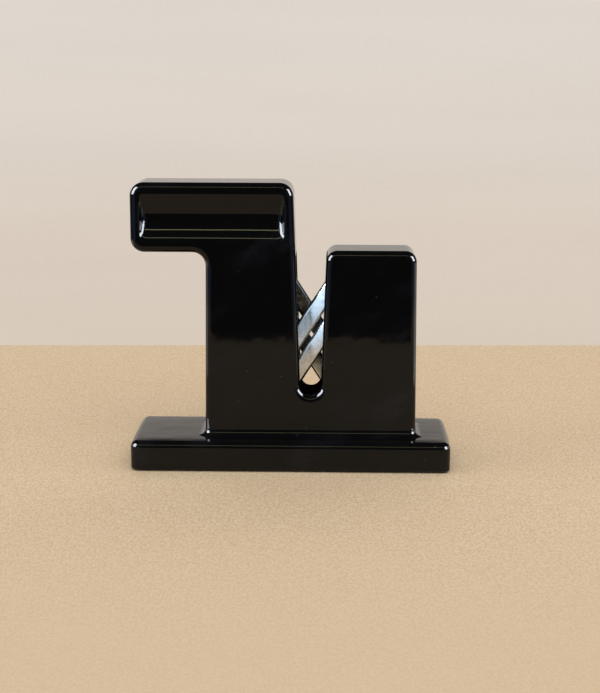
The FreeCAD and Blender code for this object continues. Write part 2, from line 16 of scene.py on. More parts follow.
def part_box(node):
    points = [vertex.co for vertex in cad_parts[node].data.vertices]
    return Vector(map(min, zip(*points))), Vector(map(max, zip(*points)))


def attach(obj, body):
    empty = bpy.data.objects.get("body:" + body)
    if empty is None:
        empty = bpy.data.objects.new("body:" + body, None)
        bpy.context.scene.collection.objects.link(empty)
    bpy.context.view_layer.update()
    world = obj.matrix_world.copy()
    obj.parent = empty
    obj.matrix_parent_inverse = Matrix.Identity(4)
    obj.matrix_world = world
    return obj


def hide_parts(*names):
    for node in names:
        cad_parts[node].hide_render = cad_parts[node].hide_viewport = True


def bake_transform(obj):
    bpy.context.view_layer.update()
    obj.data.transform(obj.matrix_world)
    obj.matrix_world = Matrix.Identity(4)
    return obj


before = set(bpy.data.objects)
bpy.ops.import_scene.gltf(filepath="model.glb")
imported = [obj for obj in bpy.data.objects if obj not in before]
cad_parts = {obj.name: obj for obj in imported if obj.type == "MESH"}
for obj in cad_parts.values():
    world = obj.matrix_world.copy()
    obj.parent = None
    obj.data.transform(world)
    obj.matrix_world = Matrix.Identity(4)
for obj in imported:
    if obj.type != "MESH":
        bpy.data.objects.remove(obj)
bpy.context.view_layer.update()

print("pieces in the frame:", len(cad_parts))

# %% [markdown]
# ## The camera
# The photograph looks a little down on the sharpener, from in front and slightly to the right of
# its middle. The horizon, the table's far edge and the casting's edges fix where it stood. A camera
# could be aimed with a Track To constraint, but a plain place and turn is easier to read.

# %% Camera
CAMERA_PLACE = (0.0180, -0.6802, 0.1941)
CAMERA_LOOKS_DOWN = 11.70
CAMERA_TURNS_LEFT = 1.19
CAMERA_ROLLS = 0.16
CAMERA_LENS = 78.18

camera = bpy.data.objects.new("camera", bpy.data.cameras.new("camera"))
camera.data.lens = CAMERA_LENS
camera.location = CAMERA_PLACE
turns = ((CAMERA_TURNS_LEFT, "Z"), (90 - CAMERA_LOOKS_DOWN, "X"), (CAMERA_ROLLS, "Z"))
aim = Matrix.Identity(3)
for degrees, axis in turns:
    aim = aim @ Matrix.Rotation(math.radians(degrees), 3, axis)
camera.rotation_euler = aim.to_euler()
bpy.context.scene.collection.objects.link(camera)
bpy.context.scene.camera = camera
bpy.context.scene.view_settings.view_transform = "Standard"
print("camera stands", round(camera.location.length, 3), "m from the sharpener")

# %% [markdown]
# ## Small helpers for shader nodes
# Every finish below is a node tree. Writing each node and link by hand is long, so a few helpers do
# it. The first ones start a material and add a node with its settings and links. The others each
# make a step that the finishes share: a pattern's coordinates, noise, a change of range, a sum, a
# mix of two colours, a bump. Object coordinates are metres on the piece itself, so a pattern keeps
# its real size and stays on the piece when a joint moves.

# %% Materials and nodes


def start_material(name):
    """A new material, its node tree and its Principled shader."""
    material = bpy.data.materials.new(name)
    material.use_nodes = True
    tree = material.node_tree
    return material, tree, tree.nodes["Principled BSDF"]


def fill_sockets(tree, node, values=None, links=None):
    """Set constants on a node's inputs and link sockets into them, all by name."""
    for socket, value in (values or {}).items():
        node.inputs[socket].default_value = value
    for socket, source in (links or {}).items():
        tree.links.new(source, node.inputs[socket])


def add_node(tree, kind, settings=None, values=None, links=None):
    """Add a node, set its properties and fill its inputs."""
    node = tree.nodes.new(kind)
    for name, value in (settings or {}).items():
        setattr(node, name, value)
    fill_sockets(tree, node, values, links)
    return node


print("helpers for nodes are ready")

# %% Patterns
MOST_OF_NOISE = (0.3, 0.7)


def coordinates(tree, scale=(1, 1, 1), turn=(0, 0, 0)):
    """Object coordinates, turned and then stretched."""
    place = add_node(tree, "ShaderNodeTexCoord").outputs["Object"]
    for values in ({"Rotation": turn}, {"Scale": scale}):
        place = add_node(tree, "ShaderNodeMapping", {"vector_type": "POINT"}, values,
                         {"Vector": place}).outputs["Vector"]
    return place


def axes_of(tree, vector):
    """The X, Y and Z sockets of a vector."""
    return add_node(tree, "ShaderNodeSeparateXYZ", links={"Vector": vector}).outputs


def noise(tree, place, per_metre, detail=2.0, roughness=0.5):
    """Cloudy noise from 0 to 1, with so many lumps to the metre."""
    values = {"Scale": per_metre, "Detail": detail, "Roughness": roughness}
    return add_node(tree, "ShaderNodeTexNoise", None, values, {"Vector": place}).outputs["Fac"]


def spread(tree, value, band, to=(0.0, 1.0)):
    """Take a band of values to another range, smoothly and with the ends held."""
    values = {"From Min": band[0], "From Max": band[1], "To Min": to[0], "To Max": to[1]}
    return add_node(tree, "ShaderNodeMapRange", {"interpolation_type": "SMOOTHSTEP"}, values,
                    {"Value": value}).outputs["Result"]


print("most of a noise lies between", *MOST_OF_NOISE)

# %% Sums, colours and bumps


def arithmetic(tree, operation, first, second=0.0):
    """First and second, joined by an operation. Second may be a socket or a number."""
    node = add_node(tree, "ShaderNodeMath", {"operation": operation}, None, {0: first})
    if isinstance(second, (int, float)):
        node.inputs[1].default_value = second
    else:
        tree.links.new(second, node.inputs[1])
    return node.outputs[0]


def squared(tree, value):
    return arithmetic(tree, "MULTIPLY", value, value)


def two_colours(tree, share, first, second):
    """First colour where share is 0, second where it is 1. A colour may be a socket."""
    node = add_node(tree, "ShaderNodeMix", {"data_type": "RGBA"}, None, {"Factor": share})
    for name, colour in (("A", first), ("B", second)):
        socket = next(s for s in node.inputs if s.name == name and s.type == "RGBA")
        if isinstance(colour, tuple):
            socket.default_value = (*colour, 1.0)
        else:
            tree.links.new(colour, socket)
    return next(s for s in node.outputs if s.type == "RGBA")


def bump(tree, height, depth, under=None):
    """A normal raised by height times depth in metres, on top of another normal."""
    links = {"Height": height}
    if under is not None:
        links["Normal"] = under
    values = {"Strength": 1.0, "Distance": depth}
    return add_node(tree, "ShaderNodeBump", None, values, links).outputs["Normal"]


print("helpers for sums, colours and bumps are ready")

# %% [markdown]
# ## The table
# The sharpener stands on a sheet of tan wrapping paper, whose straight far edge is the line behind
# it. A plane would do for a floor, but the paper's near edge also matters: it shows in the gloss as
# the step from brown to black on the casting's front. So the sheet is a thin board of real depth.
# Its fibres are fine noise, turned askew so that they never look woven. They fade towards the near
# edge, where the picture is less sharp.

# %% Wrapping paper
FIBRES_PER_METRE = (1100, 480, 1100)
FIBRE_TURN = (0.45, 0.60, 0.15)
FIBRE_BAND = (0.28, 0.72)
FIBRE_HEIGHT = 0.00005
PULP_DARK = (0.530, 0.392, 0.235)
PULP_PALE = (0.680, 0.576, 0.442)
PULP_MEAN = (0.585, 0.468, 0.329)
PAPER_SHARP_Y = (-0.24, -0.06)
PAPER_SHARPNESS = (0.26, 1.0)
CLOUD_TAN = (0.640, 0.505, 0.340)
CLOUDS_PER_METRE = 30.0
CLOUD_BAND = (0.35, 0.75)
CLOUD_SHARE = (0.0, 0.14)


def wrapping_paper():
    """Tan paper with fine fibres and faint pulp clouds."""
    material, tree, shader = start_material("wrapping_paper")
    place = coordinates(tree)
    fibres = noise(tree, coordinates(tree, FIBRES_PER_METRE, FIBRE_TURN), 1.0, 3.0, 0.6)
    pulp = two_colours(tree, spread(tree, fibres, FIBRE_BAND), PULP_DARK, PULP_PALE)
    sharpness = spread(tree, axes_of(tree, place)["Y"], PAPER_SHARP_Y, PAPER_SHARPNESS)
    softened = two_colours(tree, sharpness, PULP_MEAN, pulp)
    clouds = spread(tree, noise(tree, place, CLOUDS_PER_METRE, 3.0), CLOUD_BAND, CLOUD_SHARE)
    fill_sockets(tree, shader, {"Roughness": 0.75, "Specular IOR Level": 0.25},
                 {"Base Color": two_colours(tree, clouds, softened, CLOUD_TAN),
                  "Normal": bump(tree, fibres, FIBRE_HEIGHT)})
    return material


paper = wrapping_paper()
print(paper.name, "is a tree of", len(paper.node_tree.nodes), "nodes")

# %% Table
TABLE_NEAR_Y = -0.308
TABLE_FAR_Y = 0.2618
TABLE_HALF_LENGTH = 0.46
TABLE_TURN = 1.9
TABLE_THICKNESS = 0.018
TABLE_ROUNDING = 0.0015


def table_board():
    """A board with rounded edges and its top at height 0, turned a little about the object."""
    size = Vector((2 * TABLE_HALF_LENGTH, TABLE_FAR_Y - TABLE_NEAR_Y, TABLE_THICKNESS))
    centre = Vector((0, (TABLE_FAR_Y + TABLE_NEAR_Y) / 2, -TABLE_THICKNESS / 2))
    board = bmesh.new()
    bmesh.ops.create_cube(board, size=1.0, matrix=Matrix.LocRotScale(centre, None, size))
    bmesh.ops.bevel(board, geom=board.edges[:], offset=TABLE_ROUNDING, segments=3, affect="EDGES",
                    profile=0.5)
    turn = Matrix.Rotation(math.radians(TABLE_TURN), 3, "Z")
    bmesh.ops.rotate(board, matrix=turn, verts=board.verts)
    mesh = bpy.data.meshes.new("table")
    board.to_mesh(mesh)
    board.free()
    mesh.materials.append(paper)
    return bpy.data.objects.new("table", mesh)


table = table_board()
bpy.context.scene.collection.objects.link(table)
print("table is", round(TABLE_FAR_Y - TABLE_NEAR_Y, 3), "m deep")

# %% [markdown]
# ## The room
# Gloss black has almost no colour of its own: what is seen on it is the room. Behind the object is
# a pale wall, which lights the tops of the casting. In front the room is dark, so the face stays
# black. The pale wall is the world's colour, and it lights the table less than it shows, because a
# real wall fills only a part of the sky. The dark room is made with black flags, the cloths that
# photographers hang round shiny things: panels that only reflections can see, so they cast no
# shadow and never show in a picture.

# %% World
WALL_HIGH = (0.735, 0.672, 0.612)
WALL_LOW = (0.690, 0.592, 0.500)
WALL_FADE = (-0.20, 0.02)
WALL_TOP = (0.235, 0.345)
WALL_DIM = 0.012
WALL_LIGHT = 0.52
WALL_FOLDS = (3.0, 3.0, 26.0)
WALL_GRAIN = 750.0
WALL_GRAIN_BAND = (0.2, 0.8)
WALL_UNEVEN = (0.985, 1.015)

world = bpy.data.worlds.new("room")
bpy.context.scene.world = world
world.use_nodes = True
sky = world.node_tree
direction = add_node(sky, "ShaderNodeTexCoord").outputs["Generated"]
height = axes_of(sky, direction)["Z"]
wall = two_colours(sky, spread(sky, height, WALL_FADE), WALL_LOW, WALL_HIGH)
stretched = add_node(sky, "ShaderNodeMapping", None, {"Scale": WALL_FOLDS},
                     {"Vector": direction}).outputs["Vector"]
folds = spread(sky, noise(sky, stretched, 1.0), MOST_OF_NOISE, WALL_UNEVEN)
grain = spread(sky, noise(sky, direction, WALL_GRAIN, 1.0), WALL_GRAIN_BAND, WALL_UNEVEN)
rays = add_node(sky, "ShaderNodeLightPath").outputs
mirrored = arithmetic(sky, "MAXIMUM", rays["Is Glossy Ray"], rays["Is Transmission Ray"])
seen = arithmetic(sky, "MAXIMUM", rays["Is Camera Ray"], mirrored)
lit = spread(sky, height, WALL_TOP, (1.0, WALL_DIM))
shown = arithmetic(sky, "MULTIPLY", lit, arithmetic(sky, "MULTIPLY", folds, grain))
strength = add_node(sky, "ShaderNodeMix", {"data_type": "FLOAT"}, {"A": WALL_LIGHT},
                    {"Factor": seen, "B": shown}).outputs["Result"]
fill_sockets(sky, sky.nodes["Background"], None, {"Color": wall, "Strength": strength})
print("the wall is", WALL_HIGH, "at eye level")

# %% Black cloth
CLOTH_BLACK = (0.004, 0.004, 0.005)
CLOTH_GREY = (0.008, 0.008, 0.010)
CLOTH_WEAVE_PER_METRE = 700.0


def black_cloth():
    material, tree, shader = start_material("black_cloth")
    weave = noise(tree, coordinates(tree), CLOTH_WEAVE_PER_METRE)
    fill_sockets(tree, shader, {"Roughness": 1.0, "Specular IOR Level": 0.0},
                 {"Base Color": two_colours(tree, weave, CLOTH_BLACK, CLOTH_GREY)})
    return material


cloth = black_cloth()
print(cloth.name, "is a tree of", len(cloth.node_tree.nodes), "nodes")

# %% Black flags
FLAG_Y = -3.90
FLAG_SIDE = 4.50
FLAG_FLOOR = -1.80
FLAG_ROOF = 4.95
FLAG_BACK_Y = 1.80
FLAG_SIDE_BACK_Y = 2.10


def flag(name, corners):
    """A panel through four corners that only reflections can see."""
    mesh = bpy.data.meshes.new(name)
    mesh.from_pydata(corners, [], [tuple(range(len(corners)))])
    mesh.materials.append(cloth)
    panel = bpy.data.objects.new(name, mesh)
    bpy.context.scene.collection.objects.link(panel)
    for ray in ("camera", "diffuse", "transmission", "volume_scatter", "shadow"):
        setattr(panel, f"visible_{ray}", False)


left, right, near, low, high = -FLAG_SIDE, FLAG_SIDE, FLAG_Y, FLAG_FLOOR, FLAG_ROOF
flag("flag_front", [(left, near, low), (right, near, low), (right, near, high), (left, near, high)])
flag("flag_roof", [(left, near, high), (right, near, high),
                   (right, FLAG_BACK_Y, high), (left, FLAG_BACK_Y, high)])
for flag_name, x in (("flag_left", left), ("flag_right", right)):
    flag(flag_name, [(x, near, low), (x, FLAG_SIDE_BACK_Y, low),
                     (x, FLAG_SIDE_BACK_Y, high), (x, near, high)])
print("flags hang", -FLAG_Y, "m in front")

# %% [markdown]
# ## The lamps
# A lamp does two jobs: it lights dull things, and it shows as a bright patch in shiny ones. One
# lamp can't have the right size and strength for both, so the jobs are split with each lamp's ray
# switches. The gloss lamps give no diffuse light. Two large ones, far out to the sides, make the
# white highlights on the corners, a yellowish tube overhead draws the thin lines along the finger
# grip, and a wide dim window on each side turns the black slightly blue. Light linking lets a lamp
# shine on chosen pieces only: two small white cards beside the foot draw pale lines down the
# casting's upright edges, two panels light the front steel alone, and the corner lamps leave out
# the rear steel, so it stays dark behind the front one.
# The table lamps don't show in reflections: a skylight in front, a lower light at each side for the
# soft shadows beside the foot, and the glow of the wall from behind.

# %% Lamp list
LAMP_AIM = (0, 0, 0.07)
FAR = 3.30
LAMP_WHITE = (0.90, 0.95, 1.0)
TUBE_YELLOW = (1.0, 0.93, 0.52)
WINDOW_BLUE = (0.36, 0.62, 1.0)
CARD_WHITE = (1.0, 0.99, 0.97)
PANEL_BLUE = (0.62, 0.81, 1.0)
SKY_WHITE = (1.0, 0.97, 0.92)
WALL_WARM = (1.0, 0.92, 0.84)
# Each lamp's azimuth, elevation, size, radiance, colour and distance. Azimuth counts in degrees
# from straight in front to the right.
LAMPS = {
    "left_lamp": (-68.0, 25.0, (2.20, 2.40), 42.0, LAMP_WHITE, FAR),
    "right_lamp": (66.0, 22.0, (1.95, 2.10), 42.0, LAMP_WHITE, FAR),
    "tube": (-4.0, 41.0, (2.70, 0.14), 8.5, TUBE_YELLOW, FAR),
    "left_window": (-50.0, 14.0, (3.60, 3.20), 0.60, WINDOW_BLUE, FAR),
    "right_window": (52.0, 12.0, (3.40, 3.00), 0.45, WINDOW_BLUE, FAR),
    "left_card": (-92.0, -8.6, (0.14, 0.07), 1.3, CARD_WHITE, 0.225),
    "right_card": (92.0, -8.6, (0.14, 0.07), 1.9, CARD_WHITE, 0.215),
    "left_panel": (-33.0, 20.0, (4.60, 4.20), 1.45, PANEL_BLUE, FAR),
    "right_panel": (32.0, 18.0, (3.40, 4.20), 0.58, PANEL_BLUE, FAR),
    "skylight": (8.0, 46.0, (3.00, 2.20), 2.24, SKY_WHITE, 2.60),
    "left_side": (-80.0, 28.0, (1.90, 1.70), 2.00, SKY_WHITE, 2.40),
    "right_side": (80.0, 28.0, (1.90, 1.70), 1.20, SKY_WHITE, 2.40),
    "wall_glow": (176.0, 48.0, (1.60, 0.60), 1.7, WALL_WARM, 1.30),
}
TABLE_LAMPS = ("skylight", "left_side", "right_side", "wall_glow")
LIT_BY = {
    "lit_steel": ("left_panel", "right_panel"),
    "lit_casting": ("left_card", "right_card"),
    "lit_rest": ("left_lamp", "right_lamp"),
}
print(len(LAMPS), "lamps, of which", len(TABLE_LAMPS), "light the table")

# %% Lamps


def softbox(name, azimuth, elevation, size, radiance, colour, distance):
    """A flat lamp that faces the object and is hidden from the camera."""
    lamp = bpy.data.lights.new(name, "AREA")
    lamp.shape = "RECTANGLE"
    lamp.size, lamp.size_y = size
    lamp.energy = radiance * math.pi * size[0] * size[1]
    lamp.color = colour
    turn, rise = math.radians(azimuth), math.radians(elevation)
    toward = Vector((math.sin(turn) * math.cos(rise), -math.cos(turn) * math.cos(rise),
                     math.sin(rise)))
    stand = bpy.data.objects.new(name, lamp)
    stand.location = Vector(LAMP_AIM) + toward * distance
    stand.rotation_euler = toward.to_track_quat("Z", "Y").to_euler()
    stand.visible_camera = False
    bpy.context.scene.collection.objects.link(stand)
    return stand


lit_pieces = {
    "lit_steel": ["front_steel"],
    "lit_casting": ["housing"],
    "lit_rest": [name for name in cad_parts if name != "rear_steel"],
}
stands = {name: softbox(name, *lamp) for name, lamp in LAMPS.items()}
for lamp_name, stand in stands.items():
    if lamp_name in TABLE_LAMPS:
        stand.visible_glossy = False
    else:
        stand.visible_diffuse = False
for group_name, lamp_names in LIT_BY.items():
    group = bpy.data.collections.new(group_name)
    for node_name in lit_pieces[group_name]:
        group.objects.link(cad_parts[node_name])
    for lamp_name in lamp_names:
        stands[lamp_name].light_linking.receiver_collection = group
print("lamps:", list(stands))

# %% [markdown]
# ## Black enamel
# The casting is dipped and stoved, so its skin is thick, very smooth and a touch wavy, like the
# skin of an orange seen from far off. A mirror-smooth black would look computed. A little noise in
# the roughness stands for wiped finger marks, a slow bump for the waviness, and tiny pale specks
# for the dust that always settles on gloss. Wet enamel draws back from the foot's edges, so the
# foot's top falls away a little towards them.

# %% Dust and drawn-back edges
DUST_PER_METRE = 260.0
DUST_SIZE_SHARE = 0.018
DUST_FADE = 3
DUST_KEPT_SHARE = 0.80
FOOT_FALL_X = 0.062
FOOT_FALL_Y = 0.0155
FOOT_FALL_Z = (0.016, 0.020)
FOOT_FALL_RATE = 2.0


def dust_specks(tree, place):
    """1 on sparse round specks, 0 elsewhere."""
    values = {"Scale": DUST_PER_METRE, "Randomness": 1.0}
    cells = add_node(tree, "ShaderNodeTexVoronoi", {"feature": "F1"}, values,
                     {"Vector": place}).outputs
    size = (DUST_SIZE_SHARE, DUST_SIZE_SHARE * DUST_FADE)
    near = spread(tree, cells["Distance"], size, (1.0, 0.0))
    pick = add_node(tree, "ShaderNodeSeparateColor", links={"Color": cells["Color"]})
    kept = arithmetic(tree, "GREATER_THAN", pick.outputs["Red"], DUST_KEPT_SHARE)
    return arithmetic(tree, "MULTIPLY", near, kept)


def drawn_back(tree, place):
    """A height in metres that falls away towards the foot's edges."""
    axes = axes_of(tree, place)
    falls = []
    for axis, start in (("X", FOOT_FALL_X), ("Y", FOOT_FALL_Y)):
        out = arithmetic(tree, "SUBTRACT", arithmetic(tree, "ABSOLUTE", axes[axis]), start)
        falls.append(squared(tree, arithmetic(tree, "MAXIMUM", out, 0.0)))
    fall = arithmetic(tree, "MULTIPLY", arithmetic(tree, "ADD", *falls), -FOOT_FALL_RATE)
    return arithmetic(tree, "MULTIPLY", fall, spread(tree, axes["Z"], FOOT_FALL_Z, (1.0, 0.0)))


print("one cell in", round(1 / (1 - DUST_KEPT_SHARE)), "holds a speck of dust")

# %% Enamel
ENAMEL_IOR = 1.315
ENAMEL_BLACK = (0.0024, 0.0025, 0.0031)
ENAMEL_DEEP = (0.0034, 0.0035, 0.0042)
ENAMEL_DEPTHS_PER_METRE = 70.0
ENAMEL_ROUGHNESS = (0.045, 0.085)
SMEARS_PER_METRE = (26, 26, 60)
SMEAR_TURN = (0, 0.5, 0)
SMEAR_ROUGH_BAND = (0.40, 0.75)
HAZE_BLUE = (0.0068, 0.0078, 0.0112)
HAZE_BAND = (0.50, 0.80)
DUST_GREY = (0.13, 0.125, 0.115)
DUST_ROUGHNESS = 0.6
SWELL_PER_METRE = 70.0
SWELL_DEPTH = 0.00008
PEEL_PER_METRE = 330.0
PEEL_DEPTH = 0.000004


def black_enamel():
    material, tree, shader = start_material("black_enamel")
    place = coordinates(tree)
    smears = noise(tree, coordinates(tree, SMEARS_PER_METRE, SMEAR_TURN), 1.0, 4.0, 0.6)
    depth = noise(tree, place, ENAMEL_DEPTHS_PER_METRE, 3.0)
    black = two_colours(tree, depth, ENAMEL_BLACK, ENAMEL_DEEP)
    hazed = two_colours(tree, spread(tree, smears, HAZE_BAND), black, HAZE_BLUE)
    specks = dust_specks(tree, place)
    dusty = arithmetic(tree, "MULTIPLY", specks, DUST_ROUGHNESS)
    wiped = spread(tree, smears, SMEAR_ROUGH_BAND, ENAMEL_ROUGHNESS)
    swell = bump(tree, noise(tree, place, SWELL_PER_METRE), SWELL_DEPTH)
    drawn = bump(tree, drawn_back(tree, place), 1.0, swell)
    peel = noise(tree, place, PEEL_PER_METRE, 1.0)
    fill_sockets(tree, shader, {"IOR": ENAMEL_IOR},
                 {"Base Color": two_colours(tree, specks, hazed, DUST_GREY),
                  "Roughness": arithmetic(tree, "MAXIMUM", wiped, dusty),
                  "Normal": bump(tree, peel, PEEL_DEPTH, drawn)})
    return material


enamel = black_enamel()
print(enamel.name, "is a tree of", len(enamel.node_tree.nodes), "nodes")

# %% [markdown]
# ## Ground steel
# The two crossed steels are hardened plates ground flat along their length and rounded at their
# edges. Satin steel is neither a mirror nor a paint: fine grooves spread the light across the
# grain. The grooves are noise stretched along the plate, so each plate's pattern is turned to the
# angle at which that plate leans. A face ground by hand is never quite flat, so a slow bump also
# turns it a few degrees: its two halves lean inward, each limb is crowned across its width, and it
# tips up towards the top. Softer clouds and a few stains make it a used tool. The rear steel has
# shade painted on it in black, on its rounded edges and round the place where the two plates cross.
# The bump, this painted shade and the lamps' linking are why one plate catches the light and the
# other stays dark.

# %% Hand-ground faces
SLOT_X = 0.0089
CROSSING_Z = 0.0591
LIMB_MIDDLE = 0.0045
VALLEY_ROUNDING = 0.0012
STEEL_LOW_Z = 0.040
STEEL_HIGH_Z = 0.090


def slope(degrees):
    return math.tan(math.radians(degrees))


def tipped_up(tree, z, low_tilt, high_tilt):
    """A height that turns the face up by an angle that grows from its low to its high end."""
    growth = (slope(high_tilt) - slope(low_tilt)) / (STEEL_HIGH_Z - STEEL_LOW_Z)
    above = arithmetic(tree, "SUBTRACT", z, STEEL_LOW_Z)
    return arithmetic(tree, "ADD", arithmetic(tree, "MULTIPLY", above, -slope(low_tilt)),
                      arithmetic(tree, "MULTIPLY", squared(tree, above), -growth / 2))


def turned_inward(tree, aside, inward):
    """A height like a valley along the slot's middle, rounded at its bottom."""
    wide = arithmetic(tree, "ADD", squared(tree, aside), VALLEY_ROUNDING ** 2)
    return arithmetic(tree, "MULTIPLY", arithmetic(tree, "SQRT", wide), slope(inward))


def crowned(tree, aside, z, lean, crown):
    """A height that rounds each of the two limbs across its width."""
    turn = math.radians(lean)
    up = arithmetic(tree, "SUBTRACT", z, CROSSING_Z)
    across = arithmetic(tree, "SUBTRACT", arithmetic(tree, "MULTIPLY", aside, math.cos(turn)),
                        arithmetic(tree, "MULTIPLY", up, math.sin(turn)))
    off = arithmetic(tree, "SUBTRACT", arithmetic(tree, "ABSOLUTE", across), LIMB_MIDDLE)
    return arithmetic(tree, "MULTIPLY", squared(tree, off), -slope(crown) / LIMB_MIDDLE / 2)


def dished(tree, place, lean, inward, crown, low_tilt, high_tilt):
    """The height in metres of a face that is tipped up, turned inward and crowned, in degrees."""
    axes = axes_of(tree, place)
    aside = arithmetic(tree, "SUBTRACT", axes["X"], SLOT_X)
    tip = tipped_up(tree, axes["Z"], low_tilt, high_tilt)
    valley = turned_inward(tree, aside, inward)
    rounded = crowned(tree, aside, axes["Z"], lean, crown)
    return arithmetic(tree, "ADD", arithmetic(tree, "ADD", tip, valley), rounded)


print("the steels cross", CROSSING_Z, "m above the table")

# %% Steel
STEEL_LEAN = 32.5
STEEL_DARK = (0.56, 0.56, 0.56)
STEEL_BRIGHT = (0.74, 0.74, 0.73)
MOTTLE_PER_METRE = 420.0
MOTTLE_ROUGH_BAND = (0.25, 0.75)
GROOVES_PER_METRE = (5200.0, 5200.0, 90.0)
GROOVE_GREY = (0.40, 0.395, 0.39)
GROOVE_BAND = (0.45, 0.75)
GROOVE_SHARE = (0.0, 0.35)
GROOVE_DEPTH = 0.0000022
STAIN_BROWN = (0.26, 0.235, 0.20)
STAINS_PER_METRE = 150.0
STAIN_BAND = (0.60, 0.78)
# The next three constants paint shade in black on the rear steel: round the crossing and on its
# rounded edges.
SHADE_BLACK = (0.055, 0.050, 0.045)
SHADE_REACH = (0.009, 0.017)
EDGE_FACING = (0.55, 0.95)


def painted_shade(tree, place, edge_shade, crossing_shade):
    """The share of painted shade: on the rounded edges, and round the place where the plates cross.
    """
    facing = add_node(tree, "ShaderNodeTexCoord").outputs["Normal"]
    straight = arithmetic(tree, "ABSOLUTE", axes_of(tree, facing)["Y"])
    edge = spread(tree, straight, EDGE_FACING, (edge_shade, 0.0))
    away = add_node(tree, "ShaderNodeVectorMath", {"operation": "DISTANCE"},
                    {1: (SLOT_X, 0, CROSSING_Z)}, {0: place}).outputs["Value"]
    crossing_mask = spread(tree, away, SHADE_REACH, (crossing_shade, 0.0))
    return arithmetic(tree, "MAXIMUM", edge, crossing_mask)


def ground_steel(name, lean, turned, roughness, stain, edge_shade, crossing_shade):
    material, tree, shader = start_material(name)
    place = coordinates(tree)
    along = coordinates(tree, GROOVES_PER_METRE, (0, math.radians(-lean), 0))
    grooves = noise(tree, along, 1.0, 3.0, 0.6)
    mottle = noise(tree, place, MOTTLE_PER_METRE, 4.0, 0.65)
    stains = noise(tree, place, STAINS_PER_METRE, 3.0, 0.6)
    bright = two_colours(tree, spread(tree, mottle, MOST_OF_NOISE), STEEL_DARK, STEEL_BRIGHT)
    lined = two_colours(tree, spread(tree, grooves, GROOVE_BAND, GROOVE_SHARE), bright, GROOVE_GREY)
    stained = two_colours(tree, spread(tree, stains, STAIN_BAND, (0.0, stain)), lined, STAIN_BROWN)
    # Painted shade: black on the rounded edges and round the place where the plates cross.
    shaded = painted_shade(tree, place, edge_shade, crossing_shade)
    face = bump(tree, dished(tree, place, lean, **turned), 1.0)
    fill_sockets(tree, shader, {"Metallic": 1.0},
                 {"Base Color": two_colours(tree, shaded, stained, SHADE_BLACK),
                  "Roughness": spread(tree, mottle, MOTTLE_ROUGH_BAND, roughness),
                  "Normal": bump(tree, grooves, GROOVE_DEPTH, face)})
    return material


steels = {
    "front_steel": ground_steel(
        "ground_steel_right", lean=STEEL_LEAN,
        turned={"inward": 10.0, "crown": 7.0, "low_tilt": -3.0, "high_tilt": 11.0},
        roughness=(0.24, 0.34), stain=0.12, edge_shade=0.0, crossing_shade=0.0),
    # The rear steel gets painted shade, darker on its rounded edges and round the crossing.
    "rear_steel": ground_steel(
        "ground_steel_left", lean=-STEEL_LEAN,
        turned={"inward": 0.0, "crown": 2.0, "low_tilt": 3.0, "high_tilt": 3.0},
        roughness=(0.20, 0.30), stain=0.8, edge_shade=0.9, crossing_shade=0.94),
}
print("steels:", {name: steel.name for name, steel in steels.items()})

# %% [markdown]
# ## The finishes inside and underneath
# Pins are bright drawn rod, springs are dark tempered wire, washers and sleeves are milky nylon,
# the cover is grained black plastic, the feet are soft dark rubber, and the screws are plated with
# zinc. Each is a short tree of its own: a colour that wanders a little, a roughness to suit, and a
# bump at the size of that material's grain.

# %% Rod and wire
ROD_GREYS = ((0.48, 0.48, 0.49), (0.68, 0.68, 0.67))
ROD_LINES_PER_METRE = (4200, 60, 4200)
ROD_ROUGHNESS = (0.18, 0.34)
ROD_LINE_DEPTH = 0.000002
WIRE_TEMPERS = ((0.15, 0.16, 0.19), (0.24, 0.23, 0.22))
WIRE_TEMPERS_PER_METRE = 160.0
WIRE_SCALE_BLACK = (0.08, 0.07, 0.06)
WIRE_SCALE_PER_METRE = 900.0
WIRE_SCALE_BAND = (0.5, 0.8)
WIRE_SCALE_SHARE = (0.0, 0.5)
WIRE_ROUGHNESS = (0.26, 0.44)
WIRE_SCALE_DEPTH = 0.000006


def drawn_rod():
    """Bright steel rod with fine lines along its length, which lies in Y."""
    material, tree, shader = start_material("drawn_rod")
    lines = noise(tree, coordinates(tree, ROD_LINES_PER_METRE), 1.0, 3.0)
    fill_sockets(tree, shader, {"Metallic": 1.0},
                 {"Base Color": two_colours(tree, lines, *ROD_GREYS),
                  "Roughness": spread(tree, lines, MOST_OF_NOISE, ROD_ROUGHNESS),
                  "Normal": bump(tree, lines, ROD_LINE_DEPTH)})
    return material


def spring_wire():
    """Oil-tempered wire, dark and slightly blue, with specks of scale."""
    material, tree, shader = start_material("spring_wire")
    place = coordinates(tree)
    scale = noise(tree, place, WIRE_SCALE_PER_METRE, 4.0, 0.6)
    tempered = two_colours(tree, noise(tree, place, WIRE_TEMPERS_PER_METRE), *WIRE_TEMPERS)
    scaled = spread(tree, scale, WIRE_SCALE_BAND, WIRE_SCALE_SHARE)
    fill_sockets(tree, shader, {"Metallic": 1.0},
                 {"Base Color": two_colours(tree, scaled, tempered, WIRE_SCALE_BLACK),
                  "Roughness": spread(tree, scale, MOST_OF_NOISE, WIRE_ROUGHNESS),
                  "Normal": bump(tree, scale, WIRE_SCALE_DEPTH)})
    return material


rod, wire = drawn_rod(), spring_wire()
print("made", rod.name, "and", wire.name)

# %% Nylon and plastic
NYLON_MILKS = ((0.66, 0.64, 0.57), (0.74, 0.72, 0.66))
NYLON_CLOUDS_PER_METRE = 260.0
NYLON_GRAIN_PER_METRE = 4200.0
NYLON_ROUGHNESS = (0.36, 0.50)
NYLON_GRAIN_DEPTH = 0.000012
NYLON_GLOW = {"Subsurface Weight": 0.15, "Subsurface Scale": 0.001}
COVER_BLACKS = ((0.0105, 0.0105, 0.0110), (0.0165, 0.0160, 0.0155))
COVER_FLOW_PER_METRE = (10, 40, 40)
COVER_GRAIN_PER_METRE = 2300.0
COVER_ROUGHNESS = (0.46, 0.62)
COVER_GRAIN_DEPTH = 0.00003


